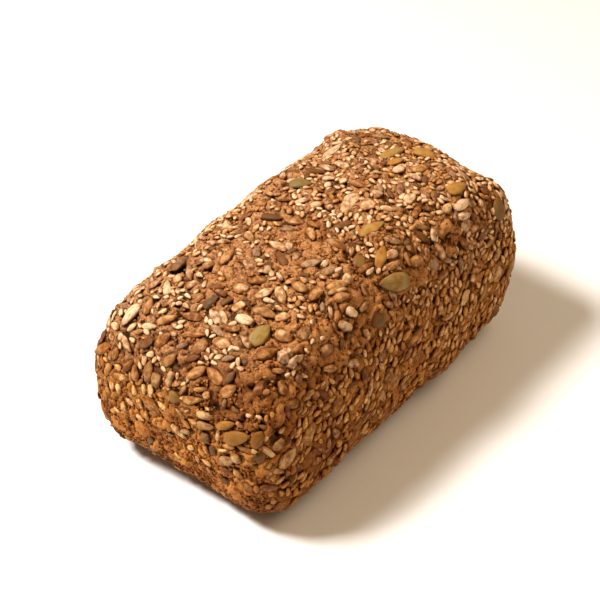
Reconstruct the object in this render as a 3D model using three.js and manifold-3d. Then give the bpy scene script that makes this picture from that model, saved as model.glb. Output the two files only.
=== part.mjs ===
// A seeded rye loaf, baked in a rectangular tin and turned out. Millimetres, Z up.
// X runs along the loaf and the origin is the middle of the face that it stands on.
// The loaf is one solid: its dough, with pumpkin seeds, sunflower kernels and oat flakes
// fused to the crust where they show.
import * as THREE from "three";
import { mergeVertices } from "three/addons/utils/BufferGeometryUtils.js";
import Module from "manifold-3d";

// Driving sizes of the dough block as the tin gives them, before its edges round off.
const LENGTH = 210.5;
const WIDTH = 113.5;
const BELT = 27; // height at which the sides stand furthest out
const SHOULDER = 44; // height of the rounding from there to the tin's rim
const RIM = BELT + SHOULDER;
const CORNER = 25; // how far the rounding reaches in from the sides and the ends
const ROUNDNESS = 2.8; // 2 is an ellipse, more is squarer
const DRAFT = 0.1; // share by which the foot is smaller than the rim
const TUCK = 0.02; // share by which the top draws in as it rises
const BELLY = 0.03; // share by which the long sides swell halfway along
const DOME = 25.5; // rise of the open top above the rim
const DOME_ALONG = 4; // powers of the dome's outline: more is a flatter top with steeper edges
const DOME_ACROSS = 3.4;
const LEAN = 5; // the far end rose this much higher, and the near end as much less

// Slow swells of the dough: height in mm, wavelengths along, across and upwards in mm, phase.
const SWELLS = [
  { height: 0.45, along: 71, across: 83, up: 97, phase: 0.6 },
  { height: 0.4, along: 47, across: -59, up: 61, phase: 2.1 },
  { height: 0.35, along: -31, across: 37, up: 43, phase: 4.0 },
];
const FOOT = 12; // the swells fade out over this height, so that the loaf stands flat

// Hollows (below 0) and bumps of the dough, at a place on the block, with height and radius.
const BUMPS = [
  { x: 102, y: -54, z: 56, height: -1.6, radius: 14 },
  { x: 105, y: 4, z: 66, height: 1.6, radius: 20 },
  { x: 92, y: 46, z: 70, height: -1.9, radius: 16 },
  { x: 32, y: -57, z: 12, height: 1.5, radius: 16 },
  { x: -14, y: -57, z: 12, height: -0.9, radius: 14 },
  { x: -72, y: -57, z: 14, height: 0.9, radius: 20 },
  { x: -105, y: 38, z: 24, height: 1.8, radius: 22 },
  { x: -103, y: 52, z: 71, height: -1.2, radius: 10 },
];

const SKIN_STEP = 8.8; // spacing of the dough's facets
const FINEST = 0.1; // joining leaves no detail finer than this

// The three kinds of large topping, and a knob of dough that stuck to the crust. bury is the
// share of the thickness that lies in the crust.
const PUMPKIN = { length: 13.6, width: 7.8, thick: 3.4, nose: 0.34, bury: 0.5 };
const KERNEL = { length: 11, width: 4.6, thick: 3.2, nose: 0.3, bury: 0.5 };
const FLAKE = { length: 9.5, width: 7, thick: 2, nose: 0.08, bury: 0.35 };
const KNOB = { length: 6.5, width: 4.5, thick: 5.2, nose: 0.1, bury: 0.35 };

// Seeds that stand out in the loaf's own pattern: kind, face, the two places on that face in
// mm, the turn of the nose in degrees from the face's first direction, and the length and
// width in mm.
const LANDMARKS = [
  [PUMPKIN, "top", -3.5, -45.5, 154, 19, 8],
  [PUMPKIN, "top", -70.5, -25.5, 7, 12.5, 7.5],
  [PUMPKIN, "top", -18.5, -51.5, 60, 9, 8.5],
  [PUMPKIN, "top", 8, -24, -20, 13.5, 6],
  [PUMPKIN, "top", -2, -36.5, 25, 12, 5.5],
  [PUMPKIN, "top", 63, 3, -14, 14, 6],
  [PUMPKIN, "top", 57, -3, -12, 9, 5],
  [PUMPKIN, "top", 74.5, -7.5, -85, 11.5, 8.5],
  [PUMPKIN, "top", 60.5, -35, -8, 13, 6],
  [PUMPKIN, "top", 13, 19, -59, 10.5, 7],
  [KERNEL, "top", -42, -23, 98, 8, 4.8],
  [KERNEL, "top", -88, 33, 165, 12, 5],
  [PUMPKIN, "top", 80, -49.5, 68, 11.5, 8],
  [PUMPKIN, "top", -10, -31, 40, 8, 6],
  [PUMPKIN, "end", -37.5, 61.5, 144, 13.5, 6.5],
  [PUMPKIN, "end", -51, 70, 82, 9, 5],
  [PUMPKIN, "end", -52, 54, 100, 8, 6],
  [PUMPKIN, "end", -30, 65.5, 144, 10.5, 4],
  [KERNEL, "top", -105, -12, -61, 11, 3.8],
  [PUMPKIN, "side", 62, 41, 60, 10, 5],
  [KERNEL, "top", -70, -14, 102, 12, 4.5],
  [KERNEL, "top", -61, -20, -76, 12, 4.5],
  [KERNEL, "top", -82, -14, -82, 10, 5],
  [KERNEL, "top", -86, -6, -13, 9, 5.5],
  [KERNEL, "top", -84, 0, -61, 11, 3],
  [KERNEL, "top", -64, -10, -14, 10, 4],
  [KERNEL, "top", -95, -10, -39, 10, 4.5],
  [KERNEL, "top", -93, -18, 76, 10, 5],
  [KERNEL, "top", -95, -27, -42, 9, 5],
  [KERNEL, "top", -96, 5, -33, 9, 5],
  [KERNEL, "top", -100.5, 1.5, -9, 11, 4],
  [KERNEL, "top", -104, 9, 0, 10, 5],
  [KERNEL, "top", -104, 14, 4, 10, 5],
  [KERNEL, "top", -91, 12, -31, 10, 5],
  [KERNEL, "top", -84, 15, -46, 10, 4.5],
  [KERNEL, "top", -72, 25, 42, 9, 4],
  [KERNEL, "top", -82, 27, 20, 9, 4],
  [KERNEL, "top", -69, 3, -20, 8, 4],
  [KERNEL, "top", -47.5, 11.5, 11, 11.5, 4],
  [KERNEL, "top", -57, 31, 12, 12, 5],
  [KERNEL, "top", -28.5, 15, 239, 8.5, 4.4],
  [KERNEL, "top", -13, 15, -70, 9, 4.5],
  [KERNEL, "top", -9, 5, -70, 10, 4],
  [KERNEL, "top", -13, -7, -129, 9.5, 4],
  [KERNEL, "top", -11, -19.5, -80, 10, 6.5],
  [KERNEL, "top", -29, -34, -20, 12, 4.5],
  [KERNEL, "top", -31.5, -38, -18, 9.5, 4.2],
  [KERNEL, "top", 4.5, -38.5, -11, 12, 4],
  [KERNEL, "top", 1, -41.5, -11, 10.5, 4],
  [KERNEL, "top", 15, -45, -15, 9, 5],
  [KERNEL, "top", -40, -30, 178, 8, 5],
  [KERNEL, "top", -50.5, -20, -126, 10, 5],
  [KERNEL, "top", -53, -13, -20, 9.5, 4.5],
  [KERNEL, "top", -65, -33, -80, 8, 6],
  [KERNEL, "top", -75, -33, -24, 10, 5],
  [KERNEL, "top", -31, -44, -49, 8, 4],
  [KERNEL, "top", -36.5, -46.5, -44, 12, 4],
  [KERNEL, "top", -54, -53, -34, 8.5, 3.5],
  [KERNEL, "top", -51, -47.5, -16, 8, 5.5],
  [KERNEL, "top", -56.5, -38, 10, 8, 6],
  [KERNEL, "top", -78.5, -53, -35, 8, 4.5],
  [KERNEL, "top", 37, -25, -5, 8, 5],
  [KERNEL, "top", 28, -15, -80, 10, 4.5],
  [KERNEL, "top", 24, -22, -45, 8, 4],
  [KERNEL, "top", 6, 4, -14, 8, 4],
  [KERNEL, "top", 56, -41, -6, 11, 5],
  [KERNEL, "top", 59.5, -15.5, -6, 13, 6],
  [KERNEL, "top", 53, -22, 30, 8, 3.5],
  [KERNEL, "end", -33, 43, 150, 9, 5],
  [KERNEL, "end", -20, 57, 163, 9.5, 4],
  [KNOB, "top", -71.5, -38.5, 60, 6.5, 5],
  [KNOB, "top", -70.5, -42, 20, 5, 3.6],
  [KNOB, "top", -67.5, -42.5, -30, 7, 3.2],
  [KNOB, "top", -69, -39.5, 40, 5, 3.4],
  [FLAKE, "top", 16, -6, 10, 14, 8],
  [FLAKE, "top", 18.5, -14, -25, 8, 8],
  [FLAKE, "top", 47, 27, -15, 13, 6],
  [FLAKE, "top", 54, -47, 30, 8, 7],
  [FLAKE, "side", -74, 50, 40, 11, 8],
  [FLAKE, "side", -76, 36, 20, 10, 8],
  [FLAKE, "side", 46, 48, 60, 10, 7],
  [FLAKE, "side", -95, 62, 100, 9, 6],
];

// Seeds strewn by rule after those: how many, and how the five faces share them.
const STREWN = [
  { kind: PUMPKIN, count: 14, share: { top: 0, side: 0.08, back: 0.66, end: 0, far: 0.26 } },
  { kind: KERNEL, count: 40, share: { top: 0.36, side: 0.1, back: 0.34, end: 0.08, far: 0.12 } },
  { kind: FLAKE, count: 14, share: { top: 0.08, side: 0.42, back: 0.42, end: 0.02, far: 0.06 } },
];
const FACES = ["top", "side", "back", "end", "far"];
const CLEAR_OF_FOOT = 13; // no strewn seed is centred lower than this
const BARE_END = 38; // the ends are bare below this height
const SPACING = 1.45; // least distance between strewn seeds, as a share of their mean length
const MOST_TRIES = 6000;
const INSIDE = { x: 60, y: 25, z: 45 }; // half of a box well inside the dough, and its height
const TURN = Math.PI * 2;

// Random numbers from 0 to 1 that come out the same each time (a Lehmer generator).
let state = 20117;
function draw() {
  state = (state * 48271) % 2147483647;
  return state / 2147483647;
}

const clamp = THREE.MathUtils.clamp;

// How far the dough stands out at a place of the block, in mm.
function swell(x, y, z) {
  let out = 0;
  for (const s of SWELLS)
    out += s.height * Math.sin(TURN * (x / s.along + y / s.across + z / s.up) + s.phase);
  for (const b of BUMPS) {
    const far = ((x - b.x) ** 2 + (y - b.y) ** 2 + (z - b.z) ** 2) / b.radius ** 2;
    out += b.height * Math.exp(-far);
  }
  return out * THREE.MathUtils.smoothstep(z, 0, FOOT);
}

// Takes a place on the flat-sided block to the baked crust.
function crust(x, y, z) {
  const heart = new THREE.Vector3(
    clamp(x, CORNER - LENGTH / 2, LENGTH / 2 - CORNER),
    clamp(y, CORNER - WIDTH / 2, WIDTH / 2 - CORNER),
    BELT,
  );
  const reach = new THREE.Vector3(CORNER, CORNER, z > BELT ? SHOULDER : BELT);
  const way = new THREE.Vector3(x, y, z).sub(heart).divide(reach);
  const power = (v) => Math.abs(v) ** ROUNDNESS;
  way.divideScalar((power(way.x) + power(way.y) + power(way.z)) ** (1 / ROUNDNESS));
  const point = heart.add(way.multiply(reach.addScalar(swell(x, y, z))));

  const rise = point.z / RIM;
  const along = (2 * point.x) / LENGTH;
  const across = (2 * point.y) / WIDTH;
  const narrow = 1 - DRAFT * (1 - rise) - TUCK * rise ** 2;
  const open = (v, sharp) => 1 - Math.min(Math.abs(v), 1) ** sharp;
  point.x *= narrow;
  point.y *= narrow * (1 + BELLY * (1 - along ** 2));
  point.z += rise ** 2 * (DOME * open(along, DOME_ALONG) * open(across, DOME_ACROSS) + LEAN * along);
  return point;
}

// A place on one face of the block: first and second are mm along and across the face.
function onFace(face, first, second) {
  if (face === "top") return [first, second, RIM];
  if (face === "side") return [first, -WIDTH / 2, second];
  if (face === "back") return [first, WIDTH / 2, second];
  return [face === "end" ? -LENGTH / 2 : LENGTH / 2, first, second];
}

// Half of a face's first direction, and the reach of its second.
function faceReach(face) {
  const half = face === "end" || face === "far" ? WIDTH / 2 : LENGTH / 2;
  return face === "top" ? [half, -WIDTH / 2, WIDTH / 2] : [half, 0, RIM];
}

// The crust's point at a place on a face, with the axes of what lies there: x along the nose,
// z out of the crust.
function seat(face, first, second, turn) {
  const step = 0.5;
  const here = crust(...onFace(face, first, second));
  const stepFirst = first > 0 ? -step : step;
  const stepSecond = second > RIM / 2 ? -step : step;
  const east = crust(...onFace(face, first + stepFirst, second)).sub(here).multiplyScalar(1 / stepFirst);
  const north = crust(...onFace(face, first, second + stepSecond)).sub(here).multiplyScalar(1 / stepSecond);
  const out = new THREE.Vector3().crossVectors(east, north).normalize();
  const heart = new THREE.Vector3(
    clamp(here.x, -INSIDE.x, INSIDE.x),
    clamp(here.y, -INSIDE.y, INSIDE.y),
    INSIDE.z,
  );
  if (out.dot(heart.sub(here)) > 0) out.negate();
  const side = new THREE.Vector3().crossVectors(out, east).normalize();
  if (side.dot(north) < 0) side.negate();
  const nose = east.normalize().multiplyScalar(Math.cos(turn)).addScaledVector(side, Math.sin(turn));
  side.crossVectors(out, nose);
  return { here, nose, side, out };
}

// A seed's closed body: round at the tail and drawn to a nose along X, flattened along Z.
function seedBody({ kind, length, width, thick }) {
  const body = new THREE.SphereGeometry(1, 6, 4).rotateZ(-Math.PI / 2);
  const place = body.getAttribute("position");
  for (let i = 0; i < place.count; i++) {
    const slim = 1 - kind.nose * place.getX(i);
    place.setXYZ(
      i,
      (place.getX(i) * length) / 2,
      (place.getY(i) * slim * width) / 2,
      (place.getZ(i) * slim * thick) / 2,
    );
  }
  return body;
}

// A seed bedded in the dough's facets, tilted a little about its own side axis.
function beddedSeed(seed, facets) {
  const { here, nose, side, out } = seat(seed.face, seed.first, seed.second, seed.turn);
  const lift = seed.thick * (0.5 - seed.kind.bury);
  const ray = new THREE.Raycaster(here.clone().addScaledVector(out, SKIN_STEP), out.clone().negate());
  here.copy(ray.intersectObject(facets)[0].point);
  const body = seedBody(seed);
  body.applyMatrix4(new THREE.Matrix4().makeRotationY(seed.tilt));
  body.applyMatrix4(new THREE.Matrix4().makeBasis(nose, side, out));
  body.translate(here.x + out.x * lift, here.y + out.y * lift, here.z + out.z * lift);
  return body;
}

// The seeds that the list gives, and then those strewn evenly by rule, the largest first.
function laySeeds() {
  const seeds = LANDMARKS.map(([kind, face, first, second, degrees, length, width]) => ({
    kind, face, first, second, length, width,
    thick: kind.thick * Math.sqrt(width / kind.width),
    turn: THREE.MathUtils.degToRad(degrees),
    tilt: 0,
    here: crust(...onFace(face, first, second)),
  }));
  for (const { kind, count, share } of STREWN) {
    let laid = 0;
    for (let tries = 0; laid < count && tries < MOST_TRIES; tries++) {
      const [pick, a, b, spin, grow, tip] = [draw(), draw(), draw(), draw(), draw(), draw()];
      let sum = 0;
      const face = FACES.find((name) => (sum += share[name]) >= pick) ?? "top";
      const [half, low, high] = faceReach(face);
      const first = (2 * a - 1) * half;
      const second = low + b * (high - low);
      const floor = face === "end" || face === "far" ? BARE_END : CLEAR_OF_FOOT;
      if (face !== "top" && second < floor) continue;
      const here = crust(...onFace(face, first, second));
      const size = 0.85 + 0.3 * grow;
      const [length, width, thick] = [kind.length * size, kind.width * size, kind.thick * size];
      if (seeds.some((s) => s.here.distanceTo(here) < (SPACING * (s.length + length)) / 2)) continue;
      const [turn, tilt] = [TURN * spin, 0.3 * (tip - 0.5)];
      seeds.push({ kind, face, first, second, length, width, thick, turn, tilt, here });
      laid++;
    }
  }
  return seeds;
}

const wasm = await Module();
wasm.setup();

// A closed three.js geometry as a solid that can be joined.
function solid(geometry) {
  geometry.deleteAttribute("normal");
  geometry.deleteAttribute("uv");
  const merged = mergeVertices(geometry, 1e-4);
  return new wasm.Manifold(
    new wasm.Mesh({
      numProp: 3,
      vertProperties: merged.getAttribute("position").array,
      triVerts: new Uint32Array(merged.index.array),
    }),
  );
}

// The bare dough: a box of even facets, every corner of it taken to the crust.
function dough() {
  const cells = (span) => Math.round(span / SKIN_STEP);
  const box = new THREE.BoxGeometry(LENGTH, WIDTH, RIM, cells(LENGTH), cells(WIDTH), cells(RIM));
  const place = box.getAttribute("position");
  for (let i = 0; i < place.count; i++) {
    const point = crust(place.getX(i), place.getY(i), place.getZ(i) + RIM / 2);
    place.setXYZ(i, point.x, point.y, point.z);
  }
  return box;
}

// The dough with its seeds joined on, as one geometry.
function seededLoaf() {
  const facets = new THREE.Mesh(dough());
  let loaf = solid(facets.geometry.clone());
  for (const seed of laySeeds()) loaf = loaf.add(solid(beddedSeed(seed, facets)));
  // Where seeds cross they close off a few small hollows, which the dough fills.
  const shells = loaf.simplify(FINEST).decompose();
  const outer = shells.reduce((a, b) => (a.volume() > b.volume() ? a : b));
  const mesh = outer.getMesh();
  const geometry = new THREE.BufferGeometry();
  geometry.setAttribute("position", new THREE.BufferAttribute(mesh.vertProperties, 3));
  geometry.setIndex(new THREE.BufferAttribute(mesh.triVerts, 1));
  geometry.computeVertexNormals();
  return geometry;
}

const crustFinish = new THREE.MeshStandardMaterial({
  color: 0xa86f42,
  roughness: 0.82,
  metalness: 0,
  flatShading: true,
});

const bread = new THREE.Group();
const loaf = new THREE.Mesh(seededLoaf(), crustFinish);
loaf.name = "loaf";
bread.add(loaf);

export default bread;
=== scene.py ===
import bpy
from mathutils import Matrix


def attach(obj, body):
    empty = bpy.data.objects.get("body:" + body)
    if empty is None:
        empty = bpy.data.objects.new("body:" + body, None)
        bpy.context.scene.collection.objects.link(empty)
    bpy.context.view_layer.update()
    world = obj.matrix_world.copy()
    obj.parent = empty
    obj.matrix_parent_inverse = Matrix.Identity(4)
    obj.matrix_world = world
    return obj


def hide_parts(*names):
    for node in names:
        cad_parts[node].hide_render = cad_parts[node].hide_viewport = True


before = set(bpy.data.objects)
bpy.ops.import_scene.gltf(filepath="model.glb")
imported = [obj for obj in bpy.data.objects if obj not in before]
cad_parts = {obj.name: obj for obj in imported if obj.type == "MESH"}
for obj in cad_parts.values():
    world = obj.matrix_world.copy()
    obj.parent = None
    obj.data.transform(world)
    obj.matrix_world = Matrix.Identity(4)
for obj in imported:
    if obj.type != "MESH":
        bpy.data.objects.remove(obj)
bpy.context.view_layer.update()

import math

import bpy
import numpy as np
from mathutils import Matrix, Vector, noise
from mathutils.kdtree import KDTree

# The view: the camera looks down on the loaf's near top edge through a long lens, from in front
# of its left end and well above the table.
AZIMUTH, ELEVATION, ROLL = (math.radians(degrees) for degrees in (-51.74, 39.04, 0.31))
CAMERA_DISTANCE = 0.680  # metres from the middle of the loaf
MID_HEIGHT = 0.045
SENSOR, LENS = 36, 88.7  # mm
OFF_CENTRE = (-0.0070, 0.00165)  # the aim is this far right of and above the middle, in metres

toward_camera = Vector((
    math.sin(AZIMUTH) * math.cos(ELEVATION),
    -math.cos(AZIMUTH) * math.cos(ELEVATION),
    math.sin(ELEVATION),
))
camera_right = Vector((math.cos(AZIMUTH), math.sin(AZIMUTH), 0))
camera_up = toward_camera.cross(camera_right)
aim = Vector((0, 0, MID_HEIGHT)) + OFF_CENTRE[0] * camera_right + OFF_CENTRE[1] * camera_up

lens = bpy.data.cameras.new("camera")
lens.sensor_width, lens.lens = SENSOR, LENS
camera = bpy.data.objects.new("camera", lens)
turned = Matrix((camera_right, camera_up, toward_camera)).transposed()
camera.matrix_world = (
    Matrix.Translation(aim + CAMERA_DISTANCE * toward_camera)
    @ turned.to_4x4() @ Matrix.Rotation(ROLL, 4, "Z")
)
bpy.context.scene.collection.objects.link(camera)
bpy.context.scene.camera = camera
bpy.context.scene.view_settings.view_transform = "Standard"

# The light: a window high behind the loaf's left end, a warm pale ceiling over it and the pale
# walls of the room. It leaves the near long side in warm half shade.
WINDOW = {"at": (-0.47, 0.50, 1.02), "across": 0.28, "watts": 23.6, "colour": "#FFFBF7"}
CEILING = {"at": (0.45, -0.50, 1.0), "across": 0.9, "watts": 5.9, "colour": "#FFE4C0"}
LIT_MIDDLE = Vector((0, 0, 0.05))


def linear(hex_colour, alpha=1.0):
    """An sRGB hex colour as the linear one that a shader takes."""
    shares = [int(hex_colour[i:i + 2], 16) / 255 for i in (1, 3, 5)]
    return (*((s / 12.92 if s <= 0.04045 else ((s + 0.055) / 1.055) ** 2.4) for s in shares), alpha)


for name, light in (("window", WINDOW), ("ceiling", CEILING)):
    lamp = bpy.data.lights.new(name, "AREA")
    lamp.size, lamp.energy, lamp.color = light["across"], light["watts"], linear(light["colour"])[:3]
    holder = bpy.data.objects.new(name, lamp)
    holder.location = light["at"]
    holder.rotation_euler = (holder.location - LIT_MIDDLE).to_track_quat("Z", "Y").to_euler()
    bpy.context.scene.collection.objects.link(holder)

room = bpy.data.worlds.new("room")
room.use_nodes = True
walls = room.node_tree.nodes["Background"].inputs
walls["Color"].default_value, walls["Strength"].default_value = linear("#FFE6C4"), 0.2
bpy.context.scene.world = room

# The table: a plain white laminate sheet, smooth and matte, far wider than the view.
TABLE_ACROSS = 6.0
table_mesh = bpy.data.meshes.new("table")
half = TABLE_ACROSS / 2
table_mesh.from_pydata([(-half, -half, 0), (half, -half, 0), (half, half, 0), (-half, half, 0)], [],
                       [(0, 1, 2, 3)])
table = bpy.data.objects.new("table", table_mesh)
bpy.context.scene.collection.objects.link(table)
laminate = bpy.data.materials.new("white_laminate")
laminate.use_nodes = True
sheet = laminate.node_tree.nodes["Principled BSDF"]
sheet.inputs["Base Color"].default_value = linear("#F4F3F1")
sheet.inputs["Roughness"].default_value = 0.6
table_mesh.materials.append(laminate)

# The dough: mixed rye and wheat, set in a rectangular tin, where it took the tin's sides and rose
# over the rim in a low dome. All its sizes are in mm, as in the solid that it stands for.
MM = 0.001
LENGTH, WIDTH, BELT, SHOULDER, CORNER = 210.5, 113.5, 27.0, 44.0, 25.0
RIM = BELT + SHOULDER
ROUNDNESS, DRAFT, TUCK, BELLY = 2.8, 0.1, 0.02, 0.03
DOME, DOME_ALONG, DOME_ACROSS, LEAN = 25.5, 4.0, 3.4, 5.0
SWELLS = (  # height, wavelengths along, across and upwards, phase
    (0.45, 71, 83, 97, 0.6),
    (0.40, 47, -59, 61, 2.1),
    (0.35, -31, 37, 43, 4.0),
)
FOOT = 12.0
BUMPS = (  # x, y, z on the block, height, radius
    (102, -54, 56, -1.6, 14), (105, 4, 66, 1.6, 20), (92, 46, 70, -1.9, 16),
    (32, -57, 12, 1.5, 16), (-14, -57, 12, -0.9, 14), (-72, -57, 14, 0.9, 20),
    (-105, 38, 24, 1.8, 22), (-103, 52, 71, -1.2, 10),
)


def smooth(value, low, high):
    """0 below low, 1 above high and an S between."""
    t = np.clip((value - low) / (high - low), 0, 1)
    return t * t * (3 - 2 * t)


def dough(places):
    """Takes places on the flat-sided block, an array of x, y and z, to the risen dough."""
    x, y, z = places.T
    out = np.zeros(len(places))
    for height, along, across, up, phase in SWELLS:
        out += height * np.sin(2 * np.pi * (x / along + y / across + z / up) + phase)
    for bx, by, bz, height, radius in BUMPS:
        out += height * np.exp(-((x - bx) ** 2 + (y - by) ** 2 + (z - bz) ** 2) / radius ** 2)
    out *= smooth(z, 0, FOOT)
    heart = np.stack([
        np.clip(x, CORNER - LENGTH / 2, LENGTH / 2 - CORNER),
        np.clip(y, CORNER - WIDTH / 2, WIDTH / 2 - CORNER),
        np.full(len(places), BELT),
    ], 1)
    reach = np.stack([np.full(len(places), CORNER)] * 2 + [np.where(z > BELT, SHOULDER, BELT)], 1)
    way = (places - heart) / reach
    way /= (np.abs(way) ** ROUNDNESS).sum(1, keepdims=True) ** (1 / ROUNDNESS)
    point = heart + way * (reach + out[:, None])
    rise, along, across = point[:, 2] / RIM, 2 * point[:, 0] / LENGTH, 2 * point[:, 1] / WIDTH
    narrow = 1 - DRAFT * (1 - rise) - TUCK * rise ** 2
    dome = (1 - np.minimum(np.abs(along), 1) ** DOME_ALONG) * (
        1 - np.minimum(np.abs(across), 1) ** DOME_ACROSS)
    point[:, 0] *= narrow
    point[:, 1] *= narrow * (1 + BELLY * (1 - along ** 2))
    point[:, 2] += rise ** 2 * (DOME * dome + LEAN * along)
    return point


def on_face(face, first, second):
    """The place on the block for two measures on one of its faces, in mm."""
    first, second = np.broadcast_arrays(np.asarray(first, float), np.asarray(second, float))
    fixed = np.ones_like(first)
    return {
        "top": lambda: np.stack([first, second, RIM * fixed], -1),
        "side": lambda: np.stack([first, -WIDTH / 2 * fixed, second], -1),
        "back": lambda: np.stack([first, WIDTH / 2 * fixed, second], -1),
        "end": lambda: np.stack([-LENGTH / 2 * fixed, first, second], -1),
        "far": lambda: np.stack([LENGTH / 2 * fixed, first, second], -1),
        "base": lambda: np.stack([first, second, 0 * fixed], -1),
    }[face]()


HEART = (60, 25, 45)  # the middle of the dough reaches so far along and across, at this height


def turned_out(points, ways):
    """Directions at points of the dough, turned round where they point to its middle."""
    along, across, height = HEART
    heart = np.stack([np.clip(points[:, 0], -along, along), np.clip(points[:, 1], -across, across),
                      np.full(len(points), float(height))], 1)
    return ways * np.where(((points - heart) * ways).sum(1) < 0, -1, 1)[:, None]


def unit(ways):
    """Directions at a length of 1."""
    return ways / np.linalg.norm(ways, axis=1, keepdims=True)


def seats(face, first, second):
    """Points on the dough, with the directions of a face's two measures and the one outwards."""
    first, second = np.asarray(first, float), np.asarray(second, float)
    step = 0.5
    here = dough(on_face(face, first, second))
    to_first = np.where(first > 0, -step, step)
    to_second = np.where(second > (0 if face in ("top", "base") else RIM / 2), -step, step)
    east = (dough(on_face(face, first + to_first, second)) - here) / to_first[:, None]
    north = (dough(on_face(face, first, second + to_second)) - here) / to_second[:, None]
    out = turned_out(here, unit(np.cross(east, north)))
    side = unit(np.cross(out, east))
    side *= np.where((side * north).sum(1) < 0, -1, 1)[:, None]
    return here, unit(east), side, out


# The crust's own relief: the dough tore and blistered as it baked, so between the seeds it is
# lumpy, clodded, wrinkled and pored. The tin pressed its sides flatter.
SKIN_DEPTH = 1.35  # the bare crust lies this far inside the form, and the seeds fill the rest
LUMP, CLOD, WRINKLE, PORE, GRAIN = 11.0, 3.4, 6.0, 3.0, 2.2  # mm from one to the next
HOLLOWS = {  # first, second, radius and depth of each, by face
    "top": (
        (-61, 29, 4.2, 4.5), (-78, 11, 2.8, 2.6), (-94, 31, 1.5, 2.0), (-101, 26, 1.3, 2.0),
        (-104, -23, 2.6, 2.2), (-101, -39, 1.7, 2.4), (-98, -50, 1.8, 2.6), (-94, -46, 1.6, 2.0),
        (-90, -36, 1.7, 2.2), (-82, -42, 3.2, 1.6), (-67, -49, 3.4, 1.6), (-57, -22, 1.8, 2.2),
        (-40, -34, 2.0, 2.4), (-39, -38, 1.7, 2.6), (-39, -49, 1.7, 2.0), (-8, -36, 2.2, 2.4),
        (-6, -5, 1.4, 2.0), (-7, 29, 1.4, 2.0), (-2, 23, 2.1, 2.4), (0, -14, 1.6, 2.2), (2, -55, 1.5, 2.2),
        (10, 26, 1.6, 2.2), (25, 2, 1.6, 2.2), (33, -46, 1.8, 2.4), (45, -52, 2.0, 2.6),
        (46, -47, 1.5, 2.2), (76, -50, 1.6, 2.2),
    ),
    "end": (
        (-39, 54, 1.8, 2.2), (-22, 44, 1.9, 2.6), (-18, 67, 1.9, 2.2), (-8, 24, 1.4, 2.0),
        (12, 30, 1.5, 2.4), (16, 62, 1.6, 2.2), (25, 30, 2.3, 2.8), (31, 57, 1.4, 2.0), (36, 47, 1.4, 2.0),
        (36, 33, 1.4, 2.0), (44, 44, 1.8, 2.4),
    ),
    "side": (
        (-92, 32, 2.6, 3.0), (-89, 34, 2.0, 2.6), (-52, 22, 1.8, 2.2), (-30, 40, 1.8, 2.2),
        (-1, 64, 1.7, 2.2), (18, 52, 1.6, 2.0),
    ),
}
pits = [(seats(face, [a], [b])[0][0], radius, depth)
        for face, rows in HOLLOWS.items() for a, b, radius, depth in rows]
PRESSED_BELOW = 58  # from here down the tin's sides pressed the crust


def tin_pressed(height):
    """1 where the tin's sides pressed the crust, and 0 at the rim and above it."""
    return 1 - smooth(height, PRESSED_BELOW, RIM)


def lumps(points, calm):
    """The slow part of the crust's relief in mm, which the seeds follow. calm is 1 where the tin
    pressed the crust and 0 on the open top."""
    rise = [noise.noise(Vector(p / LUMP)) + 0.5 * noise.noise(Vector(p / LUMP * 2.2)) for p in points]
    return (0.8 - 0.25 * calm) * np.array(rise)


GRAINY_END, GRAINY_BELOW = -90, 55  # the low end's crust is grainy here
noise.seed_set(1)  # without it, noise_vector follows the clock and each run differs


def clods(points, calm):
    """The crust's clods, wrinkles and pores: their height in mm, and 1 where a pore is."""
    rise, pore = np.empty(len(points)), np.empty(len(points))
    for i, p in enumerate(points):
        v = Vector(p)
        bent = v + 1.4 * noise.noise_vector(v / 4.0)
        patch = 0.75 + 0.6 * noise.noise(v / 14 + Vector((7, 3, 1)))
        crease = math.exp(-(noise.noise(bent / WRINKLE) / 0.05) ** 2)
        distance, cell = noise.voronoi(v / PORE)
        pore[i] = max(0.0, min(1.0, (0.22 - distance[0]) / 0.08)) * (noise.noise(cell[0] * 5.3) > 0.02)
        rise[i] = patch * (1.2 * noise.fractal(bent / CLOD, 0.6, 2.2, 4) - 0.7 * crease)
        if p[0] < GRAINY_END and p[2] < GRAINY_BELOW:
            rise[i] = 0.5 * rise[i] + 0.9 * noise.fractal(bent / GRAIN, 0.7, 2.0, 3)
    return (1 - 0.3 * calm) * rise, pore


def hollows(points):
    """How deep the torn hollows are at points of the dough, in mm."""
    sunk = np.zeros(len(points))
    for at, radius, depth in pits:
        sunk = np.maximum(sunk, depth * np.exp(-(np.linalg.norm(points - at, axis=1) / radius) ** 3))
    return sunk


# The toppings as laid: the loaf was rolled in seeds before it proved, and they baked in where
# they stuck. This lays them, the ones that stand out first and then the rest by rule.
PUMPKIN = {"length": 13.6, "width": 7.8, "thick": 3.0, "bury": 0.36, "toast": 0.9, "laid": []}
KERNEL = {"length": 11.0, "width": 4.6, "thick": 2.6, "bury": 0.3, "toast": 1.1, "laid": []}
FLAKE = {"length": 9.5, "width": 7.0, "thick": 1.5, "bury": 0.35, "toast": 0.6, "laid": []}
KNOB = {"width": 4.5, "thick": 4.6, "laid": []}
SESAME = {"length": 3.8, "width": 2.35, "thick": 1.35, "toast": 0.5, "laid": []}
LINSEED = {"length": 4.6, "width": 2.4, "thick": 1.3, "toast": 1.0, "laid": []}
CRUMB = {"length": 1.7, "width": 1.3, "thick": 1.2, "toast": 1.0, "laid": []}
SUNK_KERNEL = {"length": 9.0, "width": 5.0, "thick": 1.1, "toast": 0.0, "laid": []}  # under the skin
SUNK_SESAME = {"length": 3.8, "width": 2.4, "thick": 0.6, "toast": 0.0, "laid": []}

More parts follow.
